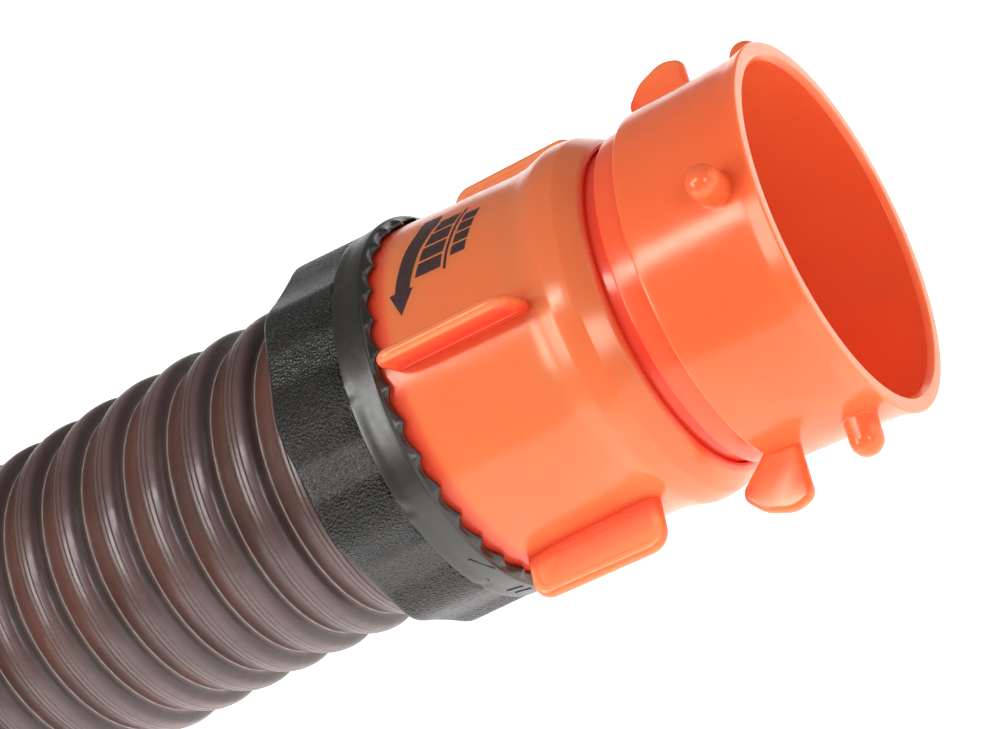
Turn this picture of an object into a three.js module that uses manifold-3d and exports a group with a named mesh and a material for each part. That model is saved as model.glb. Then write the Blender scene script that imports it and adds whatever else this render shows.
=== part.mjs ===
// A 3 inch sewer hose for a caravan: a corrugated hose with a swivelling bayonet fitting on one end
// and a swivelling lug fitting on the other. Millimetres, +Z up, standing on z = 0.
// The origin is under the bayonet fitting, about half way along it, and its mouth faces +X.

import * as THREE from 'three';
import { mergeVertices } from 'three/addons/utils/BufferGeometryUtils.js';
import Module from 'manifold-3d';

const wasm = await Module();
wasm.setup();

// ---- Driving dimensions --------------------------------------------------------------------
// Along a fitting, "depth" is the distance back from its mouth plane, towards the hose.
// Around a fitting, a "clock" angle runs from +Y towards +Z, in degrees.

const GAP = 0.3; // between pieces that touch
const SEGMENTS = 36; // round a turned piece

const MOUTH_X = 64.4;
const BORE_R = 38.9; // through the fitting body
const NECK_BORE_R = 36.8; // through a swivel neck
const NECK_R = 40; // a swivel neck, where it turns in the body
const NECK_BAND_R = 42.1; // the wider band between the swivel and its neck

const BARREL_R = 44.45; // a nominal 3 inch bayonet barrel
const RIM_R = 46.3; // the slightly flared mouth
const EAR_TIP_R = 59;
const EAR_THICKNESS = 3.2;
const EAR_CLOCKS = [34, 214];
const PEG_R = 4;
const PEG_TIP_R = 54;
const PEG_DEPTH = 9.7;
const PEG_CLOCKS = [34, 124, 214, 304];

const BODY_FRONT = 43.4; // the tip of the body's sloping nose
const BODY_R = 44;
const SLEEVE_R = 45.5; // the back of the body, under the locking ring
const SLEEVE_STEP = 105; // behind this the sleeve is thinner, as the ring's lobes dip close to it
const SLEEVE_TAIL_R = 44.2;
const SLEEVE_BACK = 111.5;
const SOCKET_R = 42.4; // takes the hose's end
const SEAL_SPACE_R = 42.3; // the space round the neck, behind the body's front lip
const SEAL_SPACE = [54.9, 64.9];
const FIN_CLOCKS = [28.5, 130, 208.5, 310];
const FIN_TIP_R = 56.6;
const FIN_THICKNESS = 3;
const FIN_DEPTHS = [60, 96.5];
const FIN_CORNER = 5;

const RING_FRONT = 98.4;
const RING_BACK = 129.6;
const RING_BAND_FRONT = 100.9;
const RING_BAND_R = 48.8; // at the front of the band, which narrows towards the grip
const RING_STEP = 109; // where the smooth band meets the lobed grip
const RING_STEP_R = 47.7;
const RING_INNER_R = 46;
const RING_TAIL_INNER_R = 44.6;
const LOBES = 10;
const LOBE_CLOCK = 24.5; // the crest of one of them
const LOBE_MEAN_R = 47.1;
const LOBE_HEIGHT = 1.25; // above and below the mean
const UNLOCK_TURN = 40; // degrees that the locking ring turns
const LUG_SPAN = 12; // degrees, each of the body's two lugs inside the ring
const LUG_CLOCKS = [90, 270];
const LUG_DEPTHS = [101.2, 104.4];
const LUG_R = 46.8;
const POCKET_R = 47.2;

const HOSE_R = 42; // over the crests
const HOSE_INNER_R = 38.8;
const HOSE_END_DEPTHS = [101.9, 129.3];
const CLAMP_DEPTHS = [112, 126.5];
const CLAMP_RIB_DEPTH = 119.2; // a rib inside the clamp, and the valley of the hose that it grips
const CLAMP_R = 44.1;

const COUPLING_FACE = 15; // depth of the lug coupling's face
const COUPLING_FLANGE_R = 56;
const GASKET_SEAT_R = 47.4;
const GASKET_SEAT_DEPTH = 18.8;
const HOOK_R = 60;
const HOOK_HALF_SPAN = 28;
const HOOK_CLOCKS = [90, 270];
const HOOK_LIP_R = 49.5;
const HANDLE_CLOCKS = [0, 180];

const BAYONET_HEIGHT = RING_BAND_R; // the fitting rests on the band of its ring
const LUG_END_HEIGHT = HOOK_R + 0.05; // this one rests on a hook
const RETURN_Y = -720; // the hose comes back beside itself

// The hose's centreline, from the back of one fitting to the back of the other.
const HOSE_ROUTE = [
  [-65.5, 0, BAYONET_HEIGHT],
  [-80, 0, BAYONET_HEIGHT],
  [-115, 0, 48.4],
  [-155, 0, 46.4],
  [-205, 0, 43.5],
  [-265, 0, 42.1],
  [-340, 1, 42],
  [-460, 5, 42],
  [-600, 8, 42],
  [-740, 7, 42],
  [-880, 2, 42],
  [-1000, 0, 42],
  [-1137.8, -27.4, 42],
  [-1254.6, -105.4, 42],
  [-1332.6, -222.2, 42],
  [-1360, -360, 42],
  [-1332.6, -497.8, 42],
  [-1254.6, -614.6, 42],
  [-1137.8, -692.6, 42],
  [-1000, RETURN_Y, 42],
  [-880, -723, 42],
  [-740, -728, 42],
  [-600, -729, 42],
  [-470, -725, 42.2],
  [-350, -721, 44],
  [-270, RETURN_Y, 48],
  [-200, RETURN_Y, 53.4],
  [-145, RETURN_Y, 57.7],
  [-110, RETURN_Y, 59.5],
  [-80, RETURN_Y, LUG_END_HEIGHT],
  [-65.5, RETURN_Y, LUG_END_HEIGHT],
];
const HOSE_SIDES = 12;
const FOLD_POINTS = [11, 19]; // the route's points where the fold starts and ends
const ROUTE_DIVISIONS = 100; // for measuring lengths, between two of the route's points

// ---- Materials ------------------------------------------------------------------------------

const finish = (color, roughness, metalness = 0) => () =>
  new THREE.MeshStandardMaterial({ color, roughness, metalness });
const orangePlastic = finish(0xf2602a, 0.3);
const deepOrangePlastic = finish(0xe8481f, 0.3);
const blackPlastic = finish(0x2b2a29, 0.55);
const blackRubber = finish(0x1c1b1a, 0.85);
const springSteel = finish(0xb4b6b8, 0.35, 1);
const clampNylon = finish(0xd8d3c6, 0.5);
const hoseVinyl = finish(0x5d4843, 0.4);

// ---- Geometry helpers -----------------------------------------------------------------------

const radians = THREE.MathUtils.degToRad;

// A closed indexed mesh with its faces pointing out.
function closed(geometry) {
  const bare = geometry.clone();
  bare.deleteAttribute('normal');
  bare.deleteAttribute('uv');
  const merged = mergeVertices(bare, 1e-4);
  const position = merged.getAttribute('position');
  const corners = [new THREE.Vector3(), new THREE.Vector3(), new THREE.Vector3()];
  const kept = [];
  let volume = 0;
  for (let i = 0; i < merged.index.count; i += 3) {
    const ids = [0, 1, 2].map((k) => merged.index.getX(i + k));
    if (new Set(ids).size < 3) continue;
    ids.forEach((id, k) => corners[k].fromBufferAttribute(position, id));
    volume += corners[0].dot(corners[1].cross(corners[2]));
    kept.push(...ids);
  }
  if (volume < 0) kept.reverse();
  merged.setIndex(kept);
  return merged;
}

function toManifold(geometry) {
  const solid = closed(geometry);
  const vertProperties = new Float32Array(solid.getAttribute('position').array);
  const triVerts = new Uint32Array(solid.index.array);
  return new wasm.Manifold(new wasm.Mesh({ numProp: 3, vertProperties, triVerts }));
}

function fromManifold(manifold) {
  const { vertProperties, triVerts } = manifold.getMesh();
  const geometry = new THREE.BufferGeometry();
  geometry.setAttribute('position', new THREE.BufferAttribute(vertProperties, 3));
  geometry.setIndex(new THREE.BufferAttribute(triVerts, 1));
  return geometry;
}

const join = (first, ...others) =>
  fromManifold(others.reduce((sum, other) => sum.add(toManifold(other)), toManifold(first)));
const cut = (first, ...others) =>
  fromManifold(others.reduce((rest, other) => rest.subtract(toManifold(other)), toManifold(first)));
const common = (first, second) => fromManifold(toManifold(first).intersect(toManifold(second)));

// Turns a closed outline of [depth, radius] points about the fitting's axis.
function turned(outline, segments = SEGMENTS) {
  const points = [...outline, outline[0]].map(([depth, radius]) => new THREE.Vector2(radius, -depth));
  const geometry = new THREE.LatheGeometry(points, segments);
  geometry.rotateZ(-Math.PI / 2);
  return closed(geometry);
}

// A piece of a ring between two clock angles and two depths.
function ringSector(innerR, outerR, fromClock, toClock, fromDepth, toDepth) {
  const shape = new THREE.Shape();
  shape.absarc(0, 0, outerR, radians(fromClock), radians(toClock), false);
  shape.absarc(0, 0, innerR, radians(toClock), radians(fromClock), true);
  const geometry = new THREE.ExtrudeGeometry(shape, {
    depth: toDepth - fromDepth,
    bevelEnabled: false,
    curveSegments: 6,
  });
  // The shape's plane becomes YZ, and its thickness runs along X.
  geometry.applyMatrix4(new THREE.Matrix4().makeBasis(
    new THREE.Vector3(0, 1, 0), new THREE.Vector3(0, 0, 1), new THREE.Vector3(1, 0, 0)));
  geometry.translate(-toDepth, 0, 0);
  return geometry;
}

// A flat plate whose outline lies in the plane of the axis and one clock angle.
// The outline's x is minus the depth, and its y is the radius.
function radialPlate(shape, thickness, clock) {
  const geometry = new THREE.ExtrudeGeometry(shape, {
    depth: thickness,
    bevelEnabled: false,
    curveSegments: 5,
  });
  geometry.translate(0, 0, -thickness / 2);
  geometry.rotateX(radians(clock));
  return geometry;
}

// A plate outline with its two outer corners rounded.
function tabShape(fromDepth, toDepth, rootR, tipR, corner) {
  const shape = new THREE.Shape();
  shape.moveTo(-fromDepth, rootR);
  shape.absarc(-fromDepth - corner, tipR - corner, corner, 0, Math.PI / 2, false);
  shape.absarc(-toDepth + corner, tipR - corner, corner, Math.PI / 2, Math.PI, false);
  shape.lineTo(-toDepth, rootR);
  shape.closePath();
  return shape;
}

function box(size, centre) {
  return new THREE.BoxGeometry(...size).translate(...centre);
}

// ---- Pieces of a fitting --------------------------------------------------------------------

// The neck that turns inside the body, from behind the swivel to its end, and back along its bore.
const NECK_OUTLINE = [
  [34.1, NECK_BAND_R],
  [40, NECK_BAND_R - 0.1],
  [40, NECK_R],
  [55, NECK_R],
  [55, NECK_R - 1],
  [58, NECK_R - 1],
  [58, NECK_R],
  [64, NECK_R],
  [64, NECK_BORE_R],
  [40, NECK_BORE_R],
];

function earShape() {
  const arcCentre = [-30.45, EAR_TIP_R - 12.8];
  const shape = new THREE.Shape();
  shape.moveTo(-25, 42.8);
  shape.lineTo(-25, 56.4);
  shape.absarc(...arcCentre, 12.8, radians(64), radians(155), false);
  shape.lineTo(-33.4, 42.8);
  shape.closePath();
  return shape;
}

function peg(clock) {
  const tip = new THREE.Path();
  tip.moveTo(0, BARREL_R - 1.5);
  tip.lineTo(PEG_R, BARREL_R - 1.5);
  tip.absarc(0, PEG_TIP_R - PEG_R, PEG_R, 0, Math.PI / 2, false);
  const geometry = new THREE.LatheGeometry(tip.getPoints(3), 10);
  geometry.translate(-PEG_DEPTH, 0, 0);
  geometry.rotateX(radians(clock));
  return geometry;
}

function bayonetBarrel() {
  const barrel = turned([
    [0, RIM_R - 3.3],
    [0, RIM_R - 0.6],
    [0.6, RIM_R],
    [5, 45.2],
    [33.4, BARREL_R],
    [34.1, BARREL_R - 0.5],
    ...NECK_OUTLINE,
    [33, 40.6],
    [1.5, 42],
  ]);
  const ears = EAR_CLOCKS.map((clock) => radialPlate(earShape(), EAR_THICKNESS, clock));
  return join(barrel, ...ears, ...PEG_CLOCKS.map(peg));
}

function lugCoupling() {
  const collar = turned([
    [COUPLING_FACE, GASKET_SEAT_R],
    [COUPLING_FACE, COUPLING_FLANGE_R],
    [COUPLING_FACE + 5, COUPLING_FLANGE_R],
    [COUPLING_FACE + 5, 48.2],
    [33.4, 46.6],
    [34.1, 46],
    ...NECK_OUTLINE,
    [33, 38.4],
    [GASKET_SEAT_DEPTH, 38.4],
    [GASKET_SEAT_DEPTH, GASKET_SEAT_R],
  ]);
  const hooks = HOOK_CLOCKS.flatMap((clock) => {
    const span = [clock - HOOK_HALF_SPAN, clock + HOOK_HALF_SPAN];
    return [
      ringSector(COUPLING_FLANGE_R - 1.5, HOOK_R, ...span, 0, COUPLING_FACE + 5),
      ringSector(HOOK_LIP_R, HOOK_R - 1, ...span, 0, 4.5),
    ];
  });
  const handle = tabShape(COUPLING_FACE + 1, 33, 45.8, HOOK_R - 0.5, 3.5);
  return join(collar, ...hooks, ...HANDLE_CLOCKS.map((clock) => radialPlate(handle, 4, clock)));
}

function fittingBody() {
  const shell = turned([
    [BODY_FRONT, NECK_R + 0.4],
    [BODY_FRONT, 41.3],
    [44.3, 42.4],
    [46.5, 43.9],
    [49.2, 45.5],
    [54.6, 45.9],
    [57.4, 45.3],
    [61, BODY_R + 0.3],
    [66, BODY_R],
    [88, BODY_R + 0.9],
    [96.6, SLEEVE_R],
    [SLEEVE_STEP, SLEEVE_R],
    [SLEEVE_STEP, SLEEVE_TAIL_R],
    [SLEEVE_BACK, SLEEVE_TAIL_R],
    [SLEEVE_BACK, SOCKET_R],
    [97.7, SOCKET_R],
    [97.7, BORE_R],
    [SEAL_SPACE[1], BORE_R],
    [SEAL_SPACE[1], SEAL_SPACE_R],
    [SEAL_SPACE[0], SEAL_SPACE_R],
    [SEAL_SPACE[0], NECK_R + 0.4],
  ]);
  const fin = tabShape(...FIN_DEPTHS, 43, FIN_TIP_R, FIN_CORNER);
  const lugs = LUG_CLOCKS.map((clock) =>
    ringSector(SLEEVE_R - 1, LUG_R, clock - LUG_SPAN / 2, clock + LUG_SPAN / 2, ...LUG_DEPTHS));
  return join(shell, ...FIN_CLOCKS.map((clock) => radialPlate(fin, FIN_THICKNESS, clock)), ...lugs);
}

// The outer radius swells and dips in lobes over the grip, and is plain over the front band.
function addLobes(geometry) {
  const position = geometry.getAttribute('position');
  for (let i = 0; i < position.count; i += 1) {
    const [x, y, z] = [position.getX(i), position.getY(i), position.getZ(i)];
    const radius = Math.hypot(y, z);
    const onGrip = -x > RING_STEP + 0.2 && radius > RING_TAIL_INNER_R + 1;
    if (!onGrip) continue;
    const swell = 1 + (LOBE_HEIGHT * Math.cos(LOBES * Math.atan2(z, y))) / radius;
    position.setXYZ(i, x, y * swell, z * swell);
  }
  return geometry;
}

function lockingRing() {
  const ring = addLobes(turned([
    [RING_FRONT, RING_INNER_R],
    [RING_FRONT, RING_BAND_R - 1.4],
    [RING_BAND_FRONT - 0.6, RING_BAND_R - 0.5],
    [RING_BAND_FRONT, RING_BAND_R],
    [RING_STEP, RING_STEP_R],
    [RING_STEP + 0.6, LOBE_MEAN_R],
    [RING_BACK - 1.2, LOBE_MEAN_R],
    [RING_BACK, LOBE_MEAN_R - 1.2],
    [RING_BACK, HOSE_R + 0.8],
    [RING_BACK - 1.9, HOSE_R + 0.8],
    [RING_BACK - 1.9, RING_TAIL_INNER_R],
    [SLEEVE_STEP + 2 * GAP, RING_TAIL_INNER_R],
    [SLEEVE_STEP + 2 * GAP, RING_INNER_R],
  ], 6 * LOBES));
  ring.rotateX(radians(LOBE_CLOCK));
  const half = LUG_SPAN / 2 + 1;
  const pockets = LUG_CLOCKS.flatMap((clock) => [
    ringSector(SLEEVE_R, POCKET_R, clock - UNLOCK_TURN - half, clock + half,
      LUG_DEPTHS[0] - 0.4, LUG_DEPTHS[1] + 0.4),
    ringSector(SLEEVE_R, POCKET_R, clock - UNLOCK_TURN - half, clock - UNLOCK_TURN + half,
      RING_FRONT - 1, LUG_DEPTHS[0] + 0.4),
  ]);
  return cut(ring, ...pockets);
}

function washer(innerR, outerR, fromDepth, toDepth) {
  return turned([
    [fromDepth, innerR],
    [fromDepth, outerR],
    [toDepth, outerR],
    [toDepth, innerR],
  ]);
}

// The neck's snap ring, open for a few millimetres so that it can be spread.
function retainingRing() {
  const ring = turned([
    [55.3, NECK_R - 0.6],
    [55.3, SEAL_SPACE_R - 0.4],
    [57.7, SEAL_SPACE_R - 0.4],
    [57.7, NECK_R - 0.6],
  ]);
  return cut(ring, box([10, 12, 6], [-56.5, SEAL_SPACE_R, 0]));
}

function hoseEnd() {
  const [front, back] = HOSE_END_DEPTHS;
  return turned([
    [front, HOSE_INNER_R],
    [front, HOSE_R],
    [CLAMP_RIB_DEPTH - 2.6, HOSE_R],
    [CLAMP_RIB_DEPTH - 1.6, HOSE_R - 1.5],
    [CLAMP_RIB_DEPTH + 1.6, HOSE_R - 1.5],
    [CLAMP_RIB_DEPTH + 2.6, HOSE_R],
    [back, HOSE_R],
    [back, HOSE_INNER_R],
  ]);
}

// Half of the split collar that grips the hose; side is +1 for the upper half and -1 for the lower.
function hoseClamp(side) {
  const [front, back] = CLAMP_DEPTHS;
  const collar = turned([
    [front, SOCKET_R],
    [front, CLAMP_R],
    [back, CLAMP_R],
    [back, SOCKET_R],
    [CLAMP_RIB_DEPTH + 1.8, SOCKET_R],
    [CLAMP_RIB_DEPTH + 1, HOSE_R - 1],
    [CLAMP_RIB_DEPTH - 1, HOSE_R - 1],
    [CLAMP_RIB_DEPTH - 1.8, SOCKET_R],
  ]);
  return common(collar, box([60, 120, 60], [-CLAMP_RIB_DEPTH, 0, side * (30 + 2 * GAP)]));
}

// ---- The hose -------------------------------------------------------------------------------

const hoseRoute = new THREE.CatmullRomCurve3(HOSE_ROUTE.map((p) => new THREE.Vector3(...p)));
hoseRoute.arcLengthDivisions = ROUTE_DIVISIONS * (HOSE_ROUTE.length - 1);

// A stretch of the route between two lengths along it.
class Stretch extends THREE.Curve {
  constructor(from, to) {
    super();
    this.from = from;
    this.to = to;
  }

  getPoint(t, target = new THREE.Vector3()) {
    const along = THREE.MathUtils.lerp(this.from, this.to, t);
    return hoseRoute.getPointAt(along / hoseRoute.getLength(), target);
  }
}

// A round section with flat sides that lie on the hose's radius, one of them underneath.
function hoseTube(from, to, steps) {
  const corner = HOSE_R / Math.cos(Math.PI / HOSE_SIDES);
  const section = new THREE.Shape();
  for (let i = 0; i < HOSE_SIDES; i += 1) {
    const angle = ((i + 0.5) * 2 * Math.PI) / HOSE_SIDES;
    const point = [corner * Math.cos(angle), corner * Math.sin(angle)];
    if (i) section.lineTo(...point);
    else section.moveTo(...point);
  }
  section.closePath();
  return new THREE.ExtrudeGeometry(section, { steps, extrudePath: new Stretch(from, to) });
}

// The length along the route up to one of its points.
function lengthTo(index) {
  return hoseRoute.getLengths()[ROUTE_DIVISIONS * index];
}

// ---- Assembly -------------------------------------------------------------------------------

const group = new THREE.Group();

function add(parent, name, geometry, material) {
  const mesh = new THREE.Mesh(closed(geometry), material());
  mesh.name = name;
  parent.add(mesh);
}

// Everything behind the swivel is the same at both ends.
function addFitting(end, height, y) {
  const fitting = new THREE.Group();
  fitting.position.set(MOUTH_X, y, height);
  group.add(fitting);
  add(fitting, `${end}_retaining_ring`, retainingRing(), springSteel);
  const swivelSeal = washer(NECK_R + GAP, SEAL_SPACE_R - GAP, 58.4, 63.8);
  add(fitting, `${end}_swivel_seal`, swivelSeal, blackRubber);
  add(fitting, `${end}_fitting_body`, fittingBody(), orangePlastic);
  add(fitting, `${end}_hose_gasket`, washer(HOSE_INNER_R, SOCKET_R - GAP, 98, 101.6), blackRubber);
  add(fitting, `${end}_hose_end`, hoseEnd(), hoseVinyl);
  add(fitting, `${end}_clamp_upper`, hoseClamp(1), clampNylon);
  add(fitting, `${end}_clamp_lower`, hoseClamp(-1), clampNylon);
  add(fitting, `${end}_locking_ring`, lockingRing(), blackPlastic);
  return fitting;
}

const bayonetEnd = addFitting('bayonet', BAYONET_HEIGHT, 0);
add(bayonetEnd, 'bayonet_barrel', bayonetBarrel(), deepOrangePlastic);

const lugEnd = addFitting('lug', LUG_END_HEIGHT, RETURN_Y);
add(lugEnd, 'lug_coupling', lugCoupling(), deepOrangePlastic);
const faceGasket = washer(38.6, GASKET_SEAT_R - GAP, 14.2, GASKET_SEAT_DEPTH - GAP);
add(lugEnd, 'lug_face_gasket', faceGasket, blackRubber);

const hoseLength = hoseRoute.getLength();
const [foldStart, foldEnd] = FOLD_POINTS.map(lengthTo);
add(group, 'hose_front_run', hoseTube(0, foldStart - GAP / 2, 9), hoseVinyl);
add(group, 'hose_fold', hoseTube(foldStart + GAP / 2, foldEnd - GAP / 2, 12), hoseVinyl);
add(group, 'hose_back_run', hoseTube(foldEnd + GAP / 2, hoseLength, 10), hoseVinyl);

export default group;
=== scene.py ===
"""A 3 inch sewer hose with a swivelling bayonet fitting on one end and a lug fitting on the other.

Along a fitting, "depth" is the distance in millimetres back from its mouth plane, towards the hose.
Around a fitting, a "clock" angle runs from +Y towards +Z, in degrees.
Shapes are made in millimetres about a fitting's axis, and placed in the frame in metres.
"""

import math

import bpy
import numpy as np
from mathutils import Matrix, Quaternion, Vector


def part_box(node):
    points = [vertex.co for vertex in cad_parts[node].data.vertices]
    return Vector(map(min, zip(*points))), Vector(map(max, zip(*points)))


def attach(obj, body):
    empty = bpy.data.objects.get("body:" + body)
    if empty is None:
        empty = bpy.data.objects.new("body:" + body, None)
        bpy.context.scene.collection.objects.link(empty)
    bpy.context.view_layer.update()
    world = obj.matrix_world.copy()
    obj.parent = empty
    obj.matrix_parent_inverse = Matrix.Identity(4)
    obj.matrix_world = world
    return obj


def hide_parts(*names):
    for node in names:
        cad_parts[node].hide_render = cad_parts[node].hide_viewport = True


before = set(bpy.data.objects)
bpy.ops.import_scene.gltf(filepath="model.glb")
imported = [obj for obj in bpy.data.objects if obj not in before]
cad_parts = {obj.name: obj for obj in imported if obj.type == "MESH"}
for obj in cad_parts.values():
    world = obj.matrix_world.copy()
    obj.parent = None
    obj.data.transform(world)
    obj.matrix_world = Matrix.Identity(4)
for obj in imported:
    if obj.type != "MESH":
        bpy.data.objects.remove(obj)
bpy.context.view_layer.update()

MM = 0.001

# ---- Camera ----

CAMERA_PLACE = Vector((0.2526, -0.5273, 0.3657))
CAMERA_AIM = Vector((-0.0261, 0.0, 0.055))
CAMERA_ROLL = math.radians(-39.64)
LENS = 101.05


def add_camera():
    """The camera looks down at the fitting, and is rolled so that the hose runs off to the lower left."""
    camera = bpy.data.objects.new("camera", bpy.data.cameras.new("camera"))
    bpy.context.scene.collection.objects.link(camera)
    camera.data.lens = LENS
    camera.location = CAMERA_PLACE
    aim = (CAMERA_AIM - CAMERA_PLACE).to_track_quat("-Z", "Y")
    camera.rotation_mode = "QUATERNION"
    camera.rotation_quaternion = aim @ Quaternion((0, 0, 1), CAMERA_ROLL)
    bpy.context.scene.camera = camera


add_camera()

# ---- Sizes, in millimetres ----

NECK_R = 40.0
NECK_BAND_R = 42.1
RIM_R = 46.3
BARREL_R = 44.45
BARREL_BACK = 33.4
EAR_FRONT = 25
EAR_TIP = [(EAR_FRONT, 57.3, 2.9), (30.2, 59.4, 8), (37.6, 56.6, 8), (42.6, 50.9, 2.9)]
EAR_THICKNESS = 3.2
EAR_CLOCKS = (34, 214)
PEG_R = 4.0
PEG_TIP_R = 54.0
PEG_DEPTH = 9.7
PEG_CLOCKS = (34, 124, 214, 304)
NECK_FRONT = 34.4
NECK_STEP = 40
NECK_BACK = 64
NECK_BORE_R = 36.8
WIRE_GROOVE = (55, 58)
WIRE_DEPTHS = (55.3, 57.7)
WIRE_R = (NECK_R - 0.6, 41.9)
WIRE_HALF_GAP = 4.0

BODY_FRONT = 43.4
SLEEVE_R = 45.5
SLEEVE_STEP = 105.0
SLEEVE_TAIL_R = 44.2
SLEEVE_BACK = 111.5
SOCKET_R = 42.4
SOCKET_FRONT = 97.7
FOOT_SINK = 1.9
BORE_R = 38.9
SEAL_SPACE_R = 42.3
SEAL_SPACE = (54.9, 64.9)
FIN_CLOCKS = (28.5, 130, 208.5, 310)
FIN_DEPTHS = (60.0, 96.5)
FIN_FOOT_R = 42.6
FIN_TIP_R = 56.6
FIN_THICKNESS = 3.0
FIN_CORNER = 5.0
FIN_BORDER = 2.3
FIN_WEB_R = 46.2

RING_FRONT = 98.4
RING_BAND_FRONT = 100.7
RING_STEP = 109.0
RING_BACK = 129.6
RING_BAND_R = 48.8
RING_STEP_R = 47.75
RING_INNER_R = 46.0
RING_TAIL_INNER_R = 44.6
LOBES = 10
LOBE_CLOCK = 24.5
LOBE_MEAN_R = 47.1
LOBE_HEIGHT = 1.25
GRIP_TAPER = 0.3
GRIP_WIDENING = 0.5
LIP_HEIGHT = 0.3
RIM_TEETH = 34
TOOTH_CLOCK = 166.6
TOOTH_DEPTH = 1.5
TOOTH_STEEP_SHARE = 0.38
LUG_CLOCKS = (90, 270)
LUG_HALF_SPAN = 6.0
LUG_DEPTHS = (101.2, 104.4)
LUG_R = 46.8
POCKET_R = 47.2
UNLOCK_TURN = 40.0

HOSE_R = 42.0
HOSE_VALLEY_R = 38.7
HOSE_INNER_R = 37.8
HOSE_PITCH = 13.35
HOSE_PHASE = 0.5825
HOSE_START_DEPTH = 103.0
CLAMP_DEPTHS = (112.0, 126.5)
CLAMP_RIB_DEPTH = 119.2
CLAMP_R = 44.1

COUPLING_FACE = 15.0
COUPLING_FLANGE_R = 56.0
GASKET_SEAT_R = 47.4
GASKET_SEAT_DEPTH = 18.8
COUPLING_BORE_R = 38.4
COUPLING_COLLAR_R = 48.2
HOOK_R = 60.0
HOOK_INNER_R = 54.5
HOOK_LIP_R = 49.5
HOOK_CLOCKS = (90, 270)
HOOK_HALF_SPAN = 28.0
HOOK_THICKNESS = 4.5
HANDLE_BACK = 32
HANDLE_FOOT_R = 44.5
HANDLE_THICKNESS = 4
HANDLE_CORNER = 3.5
HANDLE_CLOCKS = (0, 180)

# Flat rings: inner radius, outer radius, front depth, back depth.
FACE_GASKET = (38.6, 47.1, 14.2, 18.5)
SWIVEL_SEAL = (40.3, 42.0, 58.4, 63.8)
HOSE_GASKET = (38.8, 42.1, 98, 101.6)
GASKET_BEAD = 0.5

# How finely the surfaces are divided.
PROFILE_STEPS = 6
WALL_SPACING = 2.5
WALL_COLUMNS = 200
RING_SPACING = 1.0
RING_COLUMNS = 20 * RIM_TEETH
WASHER_SPACING = 2.0
WASHER_COLUMNS = 160
SHARP_DEGREES = 38

# The hose's centreline in metres, from the back of one fitting to the back of the other. It comes down from
# the bayonet fitting, lies along the floor and round one fold, and rises to the lug fitting.
BAYONET_HEIGHT = RING_BAND_R * MM
LUG_END_HEIGHT = (HOOK_R + 0.05) * MM
RETURN_Y = -0.72
HOSE_LYING = [
    (-0.34, 0.001), (-0.46, 0.005), (-0.6, 0.008), (-0.74, 0.007),
    (-0.88, 0.002), (-1.0, 0), (-1.1378, -0.0274), (-1.2546, -0.1054),
    (-1.3326, -0.2222), (-1.36, -0.36), (-1.3326, -0.4978), (-1.2546, -0.6146),
    (-1.1378, -0.6926), (-1.0, RETURN_Y), (-0.88, -0.723), (-0.74, -0.728),
    (-0.6, -0.729),
]
HOSE_ROUTE = [
    (-0.0655, 0, BAYONET_HEIGHT), (-0.08, 0, BAYONET_HEIGHT), (-0.115, 0, 0.0484),
    (-0.155, 0, 0.0464), (-0.205, 0, 0.0435), (-0.265, 0, 0.0421),
    *[(x, y, HOSE_R * MM) for x, y in HOSE_LYING],
    (-0.47, -0.725, 0.0422), (-0.35, -0.721, 0.044), (-0.27, RETURN_Y, 0.048),
    (-0.2, RETURN_Y, 0.0534), (-0.145, RETURN_Y, 0.0577), (-0.11, RETURN_Y, 0.0595),
    (-0.08, RETURN_Y, LUG_END_HEIGHT), (-0.0655, RETURN_Y, LUG_END_HEIGHT),
]

# ---- Outlines ----


def smooth(value, low, high):
    """0 below low, 1 above high, and an even rise between them."""
    t = np.clip((value - low) / (high - low), 0, 1)
    return t * t * (3 - 2 * t)


def rounded(corners, steps=5, edge_share=0.48):
    """A closed outline whose (depth, radius, rounding) corners become arcs of that rounding.

    An arc uses at most edge_share of the shorter edge beside it.
    """
    outline = []
    for i, (depth, radius, rounding) in enumerate(corners):
        here = np.array((depth, radius))
        if not rounding:
            outline.append(here)
            continue
        back = np.array(corners[i - 1][:2]) - here
        on = np.array(corners[(i + 1) % len(corners)][:2]) - here
        back_length, on_length = np.linalg.norm(back), np.linalg.norm(on)
        back, on = back / back_length, on / on_length
        half = math.acos(np.clip(back @ on, -1, 1)) / 2
        reach = min(rounding / math.tan(half), edge_share * min(back_length, on_length))
        size = reach * math.tan(half)
        centre = here + (back + on) / np.linalg.norm(back + on) * size / math.sin(half)
        start, end = here + back * reach - centre, here + on * reach - centre
        turn = math.pi - 2 * half
        for t in np.linspace(0, 1, steps):
            of_start, of_end = math.sin((1 - t) * turn), math.sin(t * turn)
            outline.append(centre + (of_start * start + of_end * end) / math.sin(turn))
    return np.array(outline)


def divided(outline, spacing):
    """The same closed outline with its long edges split up."""
    points = []
    for a, b in zip(outline, np.roll(outline, -1, axis=0)):
        count = max(1, math.ceil(np.linalg.norm(b - a) / spacing))
        points += [a + (b - a) * k / count for k in range(count)]
    return np.array(points)


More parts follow.
